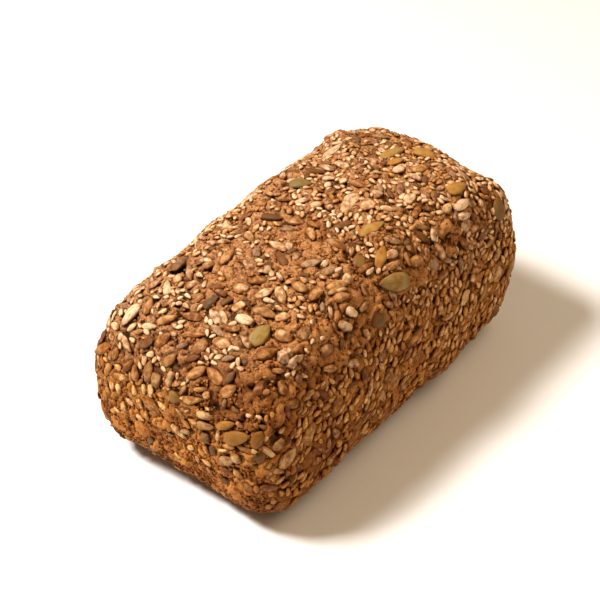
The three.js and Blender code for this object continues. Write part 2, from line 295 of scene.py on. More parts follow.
# How browned, how grey and how crust-covered a seed is, each from 0 to 1. Below 0, none of what
# the oven adds shows.
PALE, TAN, ORANGE = (0.1, 0.05, 0), (0.7, 0.1, 0.1), (0.8, 0, 0.15)
BROWN, GREY, DARK, COATED = (0.7, 0.7, 0.3), (0.35, 0.7, 0.1), (0.9, 1, 0.6), (0.7, 0.15, 0.75)

LANDMARKS = (  # kind, face; first, second, turn of the nose, length, width, tones, burial
    (PUMPKIN, "top", (
        (-3.5, -45.5, 154, 19, 8, (0.3, 0, 0), 0.3), (-70.5, -25.5, 7, 12.5, 7.5, (0.38, 0.12, 0), 0.3),
        (-18.5, -51.5, 60, 9, 8.5, (0.3, 0.85, 0.25), 0.6), (8, -24, -20, 13.5, 6, (0.75, 0, 0.2), 0.5),
        (-2, -36.5, 25, 12, 5.5, (1, 0, 0.4), 0.35), (63, 3, -14, 14, 6, (0.55, 0, 0), 0.35),
        (57, -3, -12, 9, 5, (0.9, 0, 0), 0.35), (74.5, -7.5, -85, 11.5, 8.5, (0.8, 0, 0), 0.35),
        (60.5, -35, -8, 13, 6, (0.85, 0, 0), 0.3), (13, 19, -59, 10.5, 7, (0.25, 0.5, 0), 0.35),
        (80, -49.5, 68, 11.5, 8, (0.5, 0.7, 0.2), 0.45), (-10, -31, 40, 8, 6, BROWN, 0.55),
    )),
    (PUMPKIN, "end", (
        (-37.5, 61.5, 144, 13.5, 6.5, (0.9, 0.35, 0.25), 0.3), (-51, 70, 82, 9, 5, (0.9, 0.5, 0.6), 0.35),
        (-52, 54, 100, 8, 6, (1, 1, 0.3), 0.7), (-30, 65.5, 144, 10.5, 4, (0.95, 0, 0.35), 0.3),
    )),
    (PUMPKIN, "side", (
        (62, 41, 60, 10, 5, (0.8, 0.15, 0), 0.35),
    )),
    (KERNEL, "top", (
        (-42, -23, 98, 8, 4.8, (0.85, 0.15, 0.25), 0.3), (-88, 33, 165, 12, 5, (0.1, 0.05, 0), 0.2),
        (-105, -12, -61, 11, 3.8, (0.75, 0.2, 0.2), 0.3), (-70, -14, 102, 12, 4.5, PALE, 0.25),
        (-61, -20, -76, 12, 4.5, (0.85, 0.3, 0.2), 0.3), (-82, -14, -82, 10, 5, (0.75, 0, 0.15), 0.3),
        (-86, -6, -13, 9, 5.5, (0.95, 0.3, 0.2), 0.3), (-84, 0, -61, 11, 3, (1, 0, 0.5), 0.3),
        (-64, -10, -14, 10, 4, (0.5, 0, 0.1), 0.35), (-95, -10, -39, 10, 4.5, (0.8, 0.1, 0.1), 0.25),
        (-93, -18, 76, 10, 5, (0.95, 0, 0.2), 0.3), (-95, -27, -42, 9, 5, (0.8, 0, 0.2), 0.3),
        (-96, 5, -33, 9, 5, (0.95, 0.4, 0.2), 0.3), (-100.5, 1.5, -9, 11, 4, (0.4, 0.4, 0.05), 0.25),
        (-104, 9, 0, 10, 5, (0.6, 0.4, 0.1), 0.3), (-104, 14, 4, 10, 5, (0.8, 0.4, 0.15), 0.3),
        (-91, 12, -31, 10, 5, (1, 0, 0.55), 0.35), (-84, 15, -46, 10, 4.5, (0.85, 0.1, 0.15), 0.35),
        (-72, 25, 42, 9, 4, PALE, 0.25), (-82, 27, 20, 9, 4, (1, 0.1, 0.35), 0.35),
        (-69, 3, -20, 8, 4, (1, 1, 0.1), 0.35), (-47.5, 11.5, 11, 11.5, 4, (0.8, 0.1, 0.05), 0.25),
        (-57, 31, 12, 12, 5, (0.55, 0.8, 0.2), 0.15), (-28.5, 15, 239, 8.5, 4.4, (0.55, 0.2, 0.05), 0.2),
        (-13, 15, -70, 9, 4.5, (0.75, 1, 0.4), 0.35), (-9, 5, -70, 10, 4, (0.8, 0.3, 0.2), 0.35),
        (-13, -7, -129, 9.5, 4, (0.65, 0.1, 0.05), 0.25),
        (-11, -19.5, -80, 10, 6.5, (0.7, 0.15, 0.45), 0.45), (-29, -34, -20, 12, 4.5, (0.85, 0, 0.15), 0.3),
        (-31.5, -38, -18, 9.5, 4.2, (0.85, 0.05, 0.15), 0.25), (4.5, -38.5, -11, 12, 4, (0.45, 0, 0), 0.2),
        (1, -41.5, -11, 10.5, 4, (0.75, 0, 0.1), 0.2), (15, -45, -15, 9, 5, (0.85, 0, 0.1), 0.25),
        (-40, -30, 178, 8, 5, (0.9, 0.05, 0.15), 0.25), (-50.5, -20, -126, 10, 5, (0.55, 0.1, 0.1), 0.2),
        (-53, -13, -20, 9.5, 4.5, (0.4, 0.05, 0.1), 0.25), (-65, -33, -80, 8, 6, (0.7, 0.1, 0.3), 0.35),
        (-75, -33, -24, 10, 5, (1, 0, 0.6), 0.45), (-31, -44, -49, 8, 4, (-0.9, -0.3, -0.8), 0.05),
        (-36.5, -46.5, -44, 12, 4, (0.1, 0.1, -0.1), 0.2), (-54, -53, -34, 8.5, 3.5, (0.5, 0.1, 0), 0.3),
        (-51, -47.5, -16, 8, 5.5, (0.65, 0.15, 0.4), 0.5), (-56.5, -38, 10, 8, 6, (0.5, 0.1, 0.45), 0.5),
        (-78.5, -53, -35, 8, 4.5, (0.6, 0.1, 0.2), 0.4), (37, -25, -5, 8, 5, (0.3, 0.05, 0), 0.25),
        (28, -15, -80, 10, 4.5, (0.3, 0.4, 0), 0.35), (24, -22, -45, 8, 4, (0.15, 0, 0), 0.3),
        (6, 4, -14, 8, 4, (0.45, 0.1, 0), 0.3), (56, -41, -6, 11, 5, (-0.5, 0, -0.3), 0.15),
        (59.5, -15.5, -6, 13, 6, (0.85, 0, 0.2), 0.3), (53, -22, 30, 8, 3.5, (0.8, 0.9, 0.3), 0.4),
    )),
    (KERNEL, "end", (
        (-33, 43, 150, 9, 5, (0.2, 0.5, 0), 0.35), (-20, 57, 163, 9.5, 4, (0.5, 0.4, 0.1), 0.3),
    )),
    (KNOB, "top", (
        (-71.5, -38.5, 60, 6.5, 5, (0.1, 0.2, 0.05), 0.3), (-70.5, -42, 20, 5, 3.6, (0.1, 0.3, 0.1), 0.2),
        (-67.5, -42.5, -30, 7, 3.2, (0.4, 0.2, 0.2), 0.2), (-69, -39.5, 40, 5, 3.4, (0.5, 0.2, 0.2), 0.15),
    )),
    (FLAKE, "top", (
        (16, -6, 10, 14, 8, (0.45, 0.1, 0.1), 0.3), (18.5, -14, -25, 8, 8, (0.6, 0, 0.1), 0.2),
        (47, 27, -15, 13, 6, (0.1, 0.3, 0), 0.3), (54, -47, 30, 8, 7, (0.3, 0.3, 0.1), 0.35),
    )),
    (FLAKE, "side", (
        (-74, 50, 40, 11, 8, (0.5, 0, 0.1), 0.4), (-76, 36, 20, 10, 8, (0.9, 0, 0.5), 0.45),
        (46, 48, 60, 10, 7, (0.1, 0, -0.2), 0.35), (-95, 62, 100, 9, 6, (0.3, 0, 0.05), 0.4),
    )),
)
SMALLER = (  # the same for the ones that are too small for the solid, with the face in each row
    (LINSEED, (
        ("top", 17, -38, 20, 6.5, 3.2, DARK, 0.2), ("top", 25, -40, 100, 6.5, 3, DARK, 0.1),
        ("top", 29, -38, 140, 6, 3, (0.1, 0.2, -0.2), 0.15),
    )),
    (KERNEL, (
        ("top", 31, -42, 60, 6.5, 3, PALE, 0.1), ("top", -89, 21, -68, 8, 3, (0.3, 0.05, 0), 0.2),
        ("top", -89.5, 1.5, -46, 6, 2.4, GREY, 0.2), ("top", -91, -1, -68, 5.5, 2.3, (1, 0.4, 0.4), 0.2),
        ("top", -99.5, -14.5, -63, 7, 2.3, ORANGE, 0.2), ("top", -100, -18.5, -46, 5.5, 3.3, TAN, 0.2),
        ("end", 21.5, 66.5, 82, 8, 4.5, (0.95, 0.2, 0.2), 0.25),
        ("top", -104.5, 35, 162, 8, 3.5, (1, 0.2, 0.3), 0.2), ("end", 39, 69, 84, 5, 3.3, TAN, 0.2),
        ("top", -92, 24.5, -58, 5, 2.2, (0.95, 0, 0.25), 0.2),
        ("top", -71, -47.5, 64, 4.5, 3.5, BROWN, 0.2), ("top", -84, -28, 90, 3.5, 2.6, (1, 1, 0.3), 0.3),
        ("top", -99.5, -27, 8, 4, 2.4, GREY, 0.2), ("top", -20, 22.5, 233, 6.5, 3, (0.25, 0, 0), 0.2),
        ("top", -42, -35.5, 41, 4.8, 2.3, GREY, 0.2),
        ("top", -11, -37.5, 0, 5.2, 2.4, (-0.1, 0.3, -0.2), 0.2),
        ("top", -28, -52, 107, 4.8, 3, (0.1, 0.1, -0.3), 0.15),
        ("side", -102, 61, 92, 8.5, 3.2, (0.1, 0.1, -0.2), 0.25),
        ("end", -25.5, 44.5, 175, 5, 4.5, (1, 1, 0.2), 0.35), ("end", -31, 48.5, 151, 5.6, 1.8, PALE, 0.2),
        ("end", -9.5, 45.5, 151, 9, 2.8, (0.1, 0.6, 0), 0.3), ("top", 76, -49, 90, 5, 3.3, PALE, 0.2),
        ("top", 25.5, 5.5, 148, 6.5, 4, (0.3, 0, 0), 0.2), ("top", 21, 9, 10, 6, 3, PALE, 0.2),
        ("top", 9, -1, -4, 5, 3, (0.25, 0.1, 0), 0.2),
        ("top", -2.5, -8.5, 39, 6, 2.3, (-0.7, 0, -0.5), 0.1), ("top", 54.5, -44.5, -17, 9.5, 4, PALE, 0.3),
        ("top", 59, -50, -12, 9, 3.5, TAN, 0.3), ("end", -38.5, 37.5, 46, 6, 3.5, TAN, 0.3),
        ("end", -32.5, 35, 174, 6.5, 3.5, DARK, 0.3), ("top", -22.5, -29.5, -5, 5, 2.2, PALE, 0.2),
        ("top", -31, -35.5, -24, 10.5, 2.6, (0.6, 0, 0.1), 0.2),
        ("top", -66, -3, -35, 6, 3, (0.6, 0.9, 0.3), 0.4),
        ("top", -57, -4.5, -35, 7.5, 5.5, (0.5, 0, 0.2), 0.35),
        ("top", -55, 16, -60, 6, 4, (0.9, 0.4, 0.2), 0.3),
        ("top", -66, 24, 30, 5.5, 4.5, (0.5, 0.1, 0.05), 0.25), ("top", -36, 5, 41, 7, 4, GREY, 0.3),
        ("top", -15, 4, -70, 7, 3.5, GREY, 0.35), ("top", -26, -27.5, -3, 7, 3.2, (0.3, 0.5, 0), 0.3),
        ("top", -23.5, -33.5, 112, 7, 5.5, (0.4, 0, 0.1), 0.3),
        ("top", -55, -17.5, -76, 5.5, 2.6, PALE, 0.25), ("top", -58, -27, -38, 7, 4, (0.6, 0.05, 0.1), 0.3),
        ("top", -91, -25, -15, 6, 3.5, (0.8, 0.9, 0.1), 0.35), ("top", -87.5, -39, 4, 6.5, 4, COATED, 0.4),
        ("top", 28, -25, -50, 7, 3.5, (1, 0.2, 0.45), 0.35),
        ("top", 47.5, -38.5, 8, 7, 4.2, (0.55, 0, 0.05), 0.25),
        ("top", 50, -9.5, -11, 7, 5.5, (0, 0.1, 0), 0.2),
        ("top", 69, -44, 47, 4.5, 4, (0.45, 0.05, 0.05), 0.25),
        ("end", -39, 48, 150, 7, 5, (0.35, 0.3, 0.1), 0.35),
        ("end", -21, 50, 130, 6, 5, (0.8, 0.8, 0.2), 0.35), ("top", -65.5, -45, -85, 5, 2.4, TAN, 0.15),
        ("side", -66.5, 70, -107, 4.2, 3.8, TAN, 0.2), ("top", -104.5, -38, -92, 3.8, 2.6, TAN, 0.2),
        ("top", -86.5, -42, -31, 3.6, 2.4, TAN, 0.15), ("side", -51, 69, -18, 5.6, 2.2, TAN, 0.2),
    )),
    (FLAKE, (
        ("top", 26, -50.5, 0, 8, 6.5, (0.1, 0.6, 0), 0.3), ("end", -44, 31, 44, 6, 4.5, TAN, 0.3),
    )),
    (PUMPKIN, (
        ("end", -2.5, 66, 180, 6.5, 5, (0.45, 0.5, 0.2), 0.3),
    )),
    (SESAME, (
        ("top", -56.5, -42, -162, 3.2, 2, PALE, 0.1), ("top", -51, -43.5, -11, 3.8, 2, PALE, 0.1),
        ("top", -61.5, -43, -92, 3, 1.8, PALE, 0.1), ("top", -37, -51, -106, 3.2, 2, ORANGE, 0.1),
        ("top", -74.5, -44, -11, 3.2, 1.9, PALE, 0.1), ("top", -72, -45, -147, 3.2, 1.9, PALE, 0.1),
        ("top", -67, -49, -53, 4.2, 2, PALE, 0.1), ("top", -63.5, -55, -5, 3.9, 2.1, TAN, 0.1),
        ("top", -98.5, -40.5, -56, 3, 2, PALE, 0.1), ("top", -96, -45.5, -85, 3.3, 2, PALE, 0.1),
        ("top", -94, -48.5, -147, 3.1, 1.8, TAN, 0.1), ("top", -91, -49.5, -140, 3, 2.1, TAN, 0.1),
        ("end", -49, 58.5, 144, 3, 2.8, PALE, 0.1),
    )),
)

# Where small seeds lie thick (weight above 0) or leave the crust bare (below 0).
PATCHES = {  # first, second, radius and weight of each, by face
    "top": (
        (30, -31, 11, 1.2), (-3, -27, 4, 1.0), (-46, -36, 4, 0.5), (-85, -16, 7, 0.9), (-88, -27, 6, 0.8),
        (5, 5, 9, 0.7), (10, -9, 9, 0.7), (18, 2, 10, 0.6), (42, 12, 26, 0.2), (62, -20, 18, 0.4),
        (-66, -44, 15, -1.2), (-30, -48, 10, -1.0), (-62, -10, 9, -0.7), (-72, 20, 9, 0.3),
        (-84, -44, 11, -0.9), (-99, -34, 13, -1.2), (-20, -12, 10, -0.6), (10, -49, 5, -0.8),
        (-50, -30, 6, 0.4), (-30, 38, 20, 0.3), (84, -18, 14, 0.8), (52, -30, 10, 1.1), (74, -38, 12, 1.0),
        (-50, -52, 8, -1.0), (40, -45, 7, -0.8),
    ),
    "end": (
        (-36, 68, 12, -1.0), (30, 52, 14, 0.5),
    ),
    "side": (
        (72, 68, 12, 0.9), (-82, 66, 12, -1.0),
    ),
}


def wanted(kind, face, first, second):
    """The share of tries of a kind at places on a face that it takes."""
    near = [weight * np.exp(-((first - a) ** 2 + (second - b) ** 2) / radius ** 2)
            for a, b, radius, weight in PATCHES.get(face, ())]
    if kind is SESAME:
        clump = np.array([noise.noise(Vector((a / 8, b / 8, 3.0))) for a, b in zip(first, second)])
        want = {
            "top": np.maximum((0.3 + 0.4 * smooth(first, -5, 45)) * smooth(clump, 0.0, 0.18),
                              0.9 * smooth(-second, 49, 53) * smooth(first, -80, -60)),
            "side": 0.35 + 0.65 * smooth(clump, -0.2, 0.05),
            "back": 1 - 0.85 * smooth(second, 64, 72),
            "end": (0.04 + 0.5 * smooth(second, 46, 64)) * smooth(clump, -0.05, 0.2),
            "far": (0.2 + 0.8 * smooth(second, 30, 56)) * smooth(clump, -0.1, 0.2),
            "base": 0.1 + 0 * first,
        }[face]
        return np.clip(want + sum(near, 0 * first), 0, 1)
    want = np.full(len(first), 0.8)
    if kind in (KERNEL, FLAKE):
        want = want * {
            "top": 1 - 0.55 * smooth(first, -80, -50) * (1 - smooth(first, 5, 45)) + 0 * first,
            "end": smooth(second, 44, 62) + 0 * first,
        }.get(face, 1 + 0 * first)
        for bare in near:
            want = want * np.clip(1 + np.minimum(bare, 0), 0, 1)
    return want


CELL = 4.5  # mm
taken, taken_below = {}, {}


def discs(here, nose, length, width):
    """A seed's footprint as three discs along it: x, y, z and radius of each."""
    reach = (length - width) / 2
    return [(*(here + nose * reach * k), width / 2) for k in (-0.9, 0, 0.9)]


def is_free(footprint, overlap, noted):
    """Whether a footprint keeps clear of all that are noted, but for a share of overlap."""
    for x, y, z, radius in footprint:
        for ox, oy, oz, other in noted.get((int(x // CELL), int(y // CELL), int(z // CELL)), ()):
            if (x - ox) ** 2 + (y - oy) ** 2 + (z - oz) ** 2 < ((radius + other) * (1 - overlap)) ** 2:
                return False
    return True


def note(footprint, noted):
    """Notes a footprint's discs in their cells and in the cells round them."""
    for disc in footprint:
        i, j, k = (int(v // CELL) for v in disc[:3])
        for a in (-1, 0, 1):
            for b in (-1, 0, 1):
                for c in (-1, 0, 1):
                    noted.setdefault((i + a, j + b, k + c), []).append(disc)


def calm_at(face, second):
    """1 where the tin's sides pressed the crust and 0 on the open top."""
    return np.zeros(len(second)) if face == "top" else tin_pressed(second)


NEAR_CORNER, NEAR_REACH = (-74, -58, 20), 30  # painted shade: seeds darker round the near lower corner
BACK_CORNER, BACK_REACH = (-96, 52), 18


def oven_toned(tones, places):
    """Tones with what the oven and the tin's corners added to them at places in mm. Seeds grow darker
    towards the bottom, with painted shade round the near lower corner and painted light along the
    far top edge and the top of the low end's back.
    """
    x, y, z = places.T
    # Browned a little over the low end, with painted light paling the top of its back half.
    low_end_and_lit_rim = smooth(-x, 70, 95) * (0.05 - 0.35 * smooth(y, 0, 30) * smooth(z, 50, 75))
    foot = 1 - smooth(z, 4, 26)
    near_side = smooth(-y, 34, 52) * (0.6 + 0.4 * smooth(-x, -50, 10))
    # Painted shade: seeds darker round the near lower corner.
    painted_corner_shade = np.exp(-((places - NEAR_CORNER) ** 2).sum(1) / NEAR_REACH ** 2)
    back_corner = np.exp(-((places[:, :2] - BACK_CORNER) ** 2).sum(1) / BACK_REACH ** 2)
    back_corner *= 1 - smooth(z, 60, 75)
    # Painted light: seeds paler along the far top edge.
    lit_far_edge = smooth(y, 25, 50) * smooth(z, 60, 75)
    for share, added in (
        (low_end_and_lit_rim, (1.0, 0.0, 0.5)), (foot, (0.3, 0.0, 0.25)), (near_side, (0.2, 0.0, 0.2)),
        (painted_corner_shade, (0.2, 0.0, 0.25)), (back_corner, (0.4, 0.1, 0.3)), (lit_far_edge, (-0.25, 0.0, -0.15)),
    ):
        tones = tones + np.outer(share, added)
    return tones


def lay(kind, face, first, second, turn, length, width, thick, tones, bury, tilt, overlap=None):
    """Lays one seed of a kind, or many by arrays, each where there is room if overlap is given."""
    first, second, turn, length, width, thick, bury, tilt = (
        np.atleast_1d(v).astype(float) for v in (first, second, turn, length, width, thick, bury, tilt))
    here, east, side, out = seats(face, first, second)
    nose = east * np.cos(turn)[:, None] + side * np.sin(turn)[:, None]
    noted = taken_below if kind in (SUNK_KERNEL, SUNK_SESAME) else taken
    laid = []
    for i in range(len(here)):
        footprint = discs(here[i], nose[i], length[i], width[i])
        if overlap is None or is_free(footprint, overlap, noted):
            note(footprint, noted)
            laid.append(i)
    if not laid:
        return
    ground = lumps(here[laid], calm_at(face, second[laid])) - 0.5 * hollows(here[laid])
    level = ground - SKIN_DEPTH + thick[laid] * (0.5 - bury[laid])
    kind["laid"].append({
        "at": here[laid] + out[laid] * level[:, None], "nose": nose[laid], "out": out[laid],
        "length": length[laid], "width": width[laid], "thick": thick[laid],
        "tones": oven_toned(np.atleast_2d(tones)[laid], here[laid]), "tilt": tilt[laid],
    })


told = [(kind, face, *row) for kind, face, rows in LANDMARKS for row in rows]
told += [(kind, *row) for kind, rows in SMALLER for row in rows]
for kind, face, first, second, degrees, length, width, tones, bury in told:
    lay(kind, face, first, second, math.radians(degrees), length, width,
        kind["thick"] * math.sqrt(width / kind["width"]), tones, bury, 0)

# The large seeds that the solid has too, by the same rule and the same run of chance (Lehmer's).
FACES = {  # how far the first measure reaches, and the second measure's ends
    "top": (LENGTH / 2, -WIDTH / 2, WIDTH / 2), "side": (LENGTH / 2, 0, RIM),
    "back": (LENGTH / 2, 0, RIM), "end": (WIDTH / 2, 0, RIM), "far": (WIDTH / 2, 0, RIM),
    "base": (LENGTH / 2, -WIDTH / 2, WIDTH / 2),
}
STREWN = (  # kind, how many, and their shares on the top, side, back, end and far face
    (PUMPKIN, 14, (0, 0.08, 0.66, 0, 0.26)),
    (KERNEL, 40, (0.36, 0.1, 0.34, 0.08, 0.12)),
    (FLAKE, 14, (0.08, 0.42, 0.42, 0.02, 0.06)),
)
CLEAR_OF_FOOT, BARE_END, SPACING, MOST_TRIES = 13, 38, 1.45, 6000
FACTOR, MODULUS = 48271, 2147483647
chance = 20117


def draw():
    """The next number of the run, from 0 to 1."""
    global chance
    chance = (chance * FACTOR) % MODULUS
    return chance / MODULUS


placed = [(*dough(on_face(face, [a], [b]))[0], long)
          for _, face, rows in LANDMARKS for a, b, _, long, *_ in rows]
for kind, count, shares in STREWN:
    done = tries = 0
    while done < count and tries < MOST_TRIES:
        tries += 1
        pick, a, b, spin, grow, tip = (draw() for _ in range(6))
        total, face = 0, "top"
        for name, share in zip(FACES, shares):
            total += share
            if total >= pick:
                face = name
                break
        reach, low, high = FACES[face]
        first, second = (2 * a - 1) * reach, low + b * (high - low)
        if face != "top" and second < (BARE_END if face in ("end", "far") else CLEAR_OF_FOOT):
            continue
        x, y, z = dough(on_face(face, [first], [second]))[0]
        size = 0.85 + 0.3 * grow
        length = kind["length"] * size
        if any(math.dist((x, y, z), spot[:3]) < SPACING * (spot[3] + length) / 2 for spot in placed):
            continue
        placed.append((x, y, z, length))
        done += 1
        lay(kind, face, first, second, 2 * math.pi * spin, length, kind["width"] * size,
            kind["thick"] * size, (grow, max(0.0, 4 * spin - 3.2), 0.5 * tip),
            kind["bury"] + 0.1, 0.3 * (tip - 0.5))

# The rest, by kind and face, the largest first: how many tries, and how sunk they lie. Against
# the tin the seeds were pressed flat and level with the dough.
REST = (  # kind, tries on the top, side, back, end, far face and base, overlap, burial
    (KERNEL, (1150, 110, 80, 420, 360, 12), 0.25, 0.28),
    (PUMPKIN, (0, 3, 14, 0, 20, 0), 0.0, 0.45),
    (FLAKE, (40, 45, 40, 10, 30, 30), 0.1, 0.5),
    (LINSEED, (70, 12, 12, 20, 20, 6), 0.0, 0.3),
    (SESAME, (16000, 0, 0, 0, 0, 500), 0.3, 0.1),
    (SESAME, (0, 14000, 13000, 3000, 4500, 0), 0.17, 0.1),
    (CRUMB, (5500, 1000, 1000, 4500, 1500, 500), 0.25, 0.35),
    (SUNK_KERNEL, (1400, 200, 200, 60, 700, 60), 0.2, 0.0),
    (SUNK_SESAME, (4000, 800, 800, 150, 1800, 400), 0.1, 0.0),
)
SLANT, LEANING = 1.0, 2.2  # on the long sides the small seeds lean this way, within so much
rng = np.random.default_rng(7)
for kind, tries, overlap, bury in REST:
    for (face, (reach, low, high)), count in zip(FACES.items(), tries):
        first = (2 * rng.random(count) - 1) * reach
        second = low + rng.random(count) * (high - low)
        spin, grow, stout, brown, grey, tip, luck = (rng.random(count) for _ in range(7))
        above_foot = second > (3 if kind["length"] < 4 else 7)
        keep = (luck < wanted(kind, face, first, second)) & (above_foot | (face in ("top", "base")))
        first, second, spin, grow, stout, brown, grey, tip = (
            v[keep] for v in (first, second, spin, grow, stout, brown, grey, tip))
        pressed = calm_at(face, second)
        size = 0.5 + 0.45 * grow ** 1.3 if kind is KERNEL else 0.8 + 0.38 * grow + 0.42 * pressed
        scorch = np.array([noise.noise(Vector((a / 10, b / 10, 9.0))) for a, b in zip(first, second)])
        patchy = np.array([noise.noise(Vector((a / 5.5, b / 5.5, 4.0))) for a, b in zip(first, second)])
        toast = kind["toast"] * brown * (1 - 0.8 * pressed) + (0.75 * stout) * pressed + 0.6 * scorch
        toast = np.clip(toast + (0.3 + 0.4 * pressed) * patchy, 0.25 * pressed, 1)
        toast -= 0.2 * smooth(-first, 55, 85) * (face == "top")
        coated = 0.35 * tip * (1 - 0.4 * pressed) + 0.15 * pressed + 0.9 * np.maximum(scorch, 0)
        coated += 0.2 * (kind is KERNEL) * (1 - pressed) + 0.4 * patchy * pressed - 0.1 * pressed
        turn = 2 * np.pi * spin
        if kind is SESAME and face in ("side", "back"):
            turn = SLANT + LEANING * (spin - 0.5)
        greyed = np.clip(3 * grey - 2 if kind is KERNEL else 4 * grey - 3, 0, 1) * (1 - 0.85 * pressed)
        greyed *= 1 - 0.7 * smooth(first, 55, 80)
        tones = np.stack([toast, greyed, coated], 1)
        lay(kind, face, first, second, turn, kind["length"] * size,
            kind["width"] * size * (0.86 + 0.26 * stout), kind["thick"] * size * (1 - 0.2 * pressed),
            tones, np.clip(bury + 0.25 * (tip - 0.35) + 0.15 * pressed, 0.05, 0.85),
            0.35 * (brown - 0.5) * (1 - 0.8 * pressed), overlap)

for kind in (PUMPKIN, KERNEL, FLAKE, KNOB, SESAME, LINSEED, CRUMB, SUNK_KERNEL, SUNK_SESAME):
    kind["seeds"] = {key: np.concatenate([lot[key] for lot in kind["laid"]]) for key in kind["laid"][0]}

# The crust: the baked skin of the dough, orange-brown and rough, sunk a little round each seed
# that is baked into it, with clots, torn hollows and pores. It is made in three pieces that meet
# edge to edge: the open top, the four sides that lay against the tin, and the base.
NEARBY = 0.4  # mm between the places that give a face's tilt
MOAT, SEED_MOAT, UNDER_SEED, PRESSED_IN = 0.45, 0.3, 0.4, 0.15  # how deep, in mm


def mesh_piece(name, points, faces, layers):
    """An object from points in mm and triangles or quads, with its colour layers."""
    mesh = bpy.data.meshes.new(name)
    corners = faces.shape[1]
    mesh.vertices.add(len(points))
    mesh.vertices.foreach_set("co", (points * MM).astype(np.float32).ravel())
    mesh.loops.add(faces.size)
    mesh.loops.foreach_set("vertex_index", faces.astype(np.int32).ravel())
    mesh.polygons.add(len(faces))
    mesh.polygons.foreach_set("loop_start", np.arange(0, faces.size, corners, dtype=np.int32))
    mesh.polygons.foreach_set("use_smooth", np.ones(len(faces), bool))
    mesh.update(calc_edges=True)
    for layer, colours in layers.items():
        made = mesh.color_attributes.new(layer, "FLOAT_COLOR", "POINT")
        made.data.foreach_set("color", colours.astype(np.float32).ravel())
    piece = bpy.data.objects.new(name, mesh)
    bpy.context.scene.collection.objects.link(piece)
    return piece


def lattice_face(axis, end, cells):
    """One face of the block as places and quads, wound to face outwards."""
    u, v = (axis + 1) % 3, (axis + 2) % 3
    spans = (LENGTH, WIDTH, RIM)
    a, b = np.meshgrid(np.linspace(0, 1, cells[u] + 1), np.linspace(0, 1, cells[v] + 1), indexing="ij")
    share = np.zeros(a.shape + (3,))
    share[..., axis], share[..., u], share[..., v] = end, a, b
    index = np.arange(a.size).reshape(a.shape)
    ring = [index[:-1, :-1], index[1:, :-1], index[1:, 1:], index[:-1, 1:]]
    quads = np.stack(ring if end else ring[::-1], -1).reshape(-1, 4)
    return share.reshape(-1, 3) * spans - (LENGTH / 2, WIDTH / 2, 0), quads


def skinned(name, faces):
    """A piece of crust over some faces of the block, with its relief and its colour layer."""
    places, quads, count = [], [], 0
    for axis, end, cells in faces:
        some, four = lattice_face(axis, end, cells)
        places.append(some)
        quads.append(four + count)
        count += len(some)
    block, welded = np.unique(np.concatenate(places).round(5), axis=0, return_inverse=True)
    quads = welded.reshape(-1)[np.concatenate(quads)]
    skin = dough(block)
    shifted = [dough(block + np.eye(3)[k] * NEARBY) for k in range(3)]
    flat_axis = np.argmax(np.abs((block - (0, 0, RIM / 2)) / (LENGTH / 2, WIDTH / 2, RIM / 2)), 1)
    tangents = np.stack([s - skin for s in shifted], 1)
    rows = np.arange(len(skin))
    outward = np.cross(tangents[rows, (flat_axis + 1) % 3], tangents[rows, (flat_axis + 2) % 3])
    outward = turned_out(skin, unit(outward))

    calm, sunk = tin_pressed(block[:, 2]), hollows(skin)
    slow = lumps(skin, calm)
    quick, pore = clods(skin, calm)
    quick = quick + bulges(skin)
    gap, large_gap = np.full(len(skin), 5.0), np.full(len(skin), 5.0)
    for i, p in enumerate(skin):
        for spot, index, distance in seed_tree.find_n(p, 3):
            gap[i] = min(gap[i], distance - spot_radii[index])
            if index < large_spots:
                large_gap[i] = min(large_gap[i], distance - spot_radii[index])
    under = smooth(-gap, 0.1, 0.8)
    moat = MOAT * np.exp(-((large_gap - 0.3) / 0.5) ** 2)
    moat += SEED_MOAT * np.exp(-((gap - 0.2) / 0.4) ** 2)
    foot = smooth(skin[:, 2], 2.5, 8.0)
    shape = (1 - 0.8 * under) * (quick - 0.9 * pore) - moat - UNDER_SEED * under
    level = foot * (slow + shape - sunk - SKIN_DEPTH - PRESSED_IN * calm)
    level -= PRESSED_IN * (1 - foot) * (skin[:, 2] < 1) * (quick < 0)
    skin = skin + outward * level[:, None]
    skin[:, 2] = np.maximum(skin[:, 2], 0.0)
    # The colour layer holds the relief, the hollows and pores, the tin's pressing, and how near a seed is;
    # the material paints shade into the hollows, the pores and the crust near each seed.
    layer = np.stack([np.clip(0.5 + 0.5 * quick, 0, 1), np.clip(sunk / 2.5 + 0.9 * pore, 0, 1), calm,
                      np.exp(-np.maximum(gap, 0) / 0.5)], 1)
    piece = mesh_piece(name, skin, quads, {"bake": layer})
    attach(piece, "root")
    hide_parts("loaf")
    return piece


beds = [kind["seeds"] for kind in (PUMPKIN, KERNEL, FLAKE, KNOB, LINSEED, SESAME)]
spots = np.concatenate([bed["at"] + bed["nose"] * (bed["length"] - bed["width"])[:, None] / 2 * k
                        for bed in beds for k in (-0.9, 0, 0.9)])
spot_radii = np.concatenate([bed["width"] / 2 for bed in beds for k in (-0.9, 0, 0.9)])
large_spots = 3 * sum(len(bed["at"]) for bed in beds[:-1])
sunk_seeds = {key: np.concatenate([SUNK_KERNEL["seeds"][key], SUNK_SESAME["seeds"][key]])
              for key in ("at", "nose", "out", "length", "width", "thick")}


def search_tree(places):
    """A tree that finds the places nearest to a point."""
    found = KDTree(len(places))
    for i, place in enumerate(places):
        found.insert(place, i)
    found.balance()
    return found


seed_tree, sunk_tree = search_tree(spots), search_tree(sunk_seeds["at"])


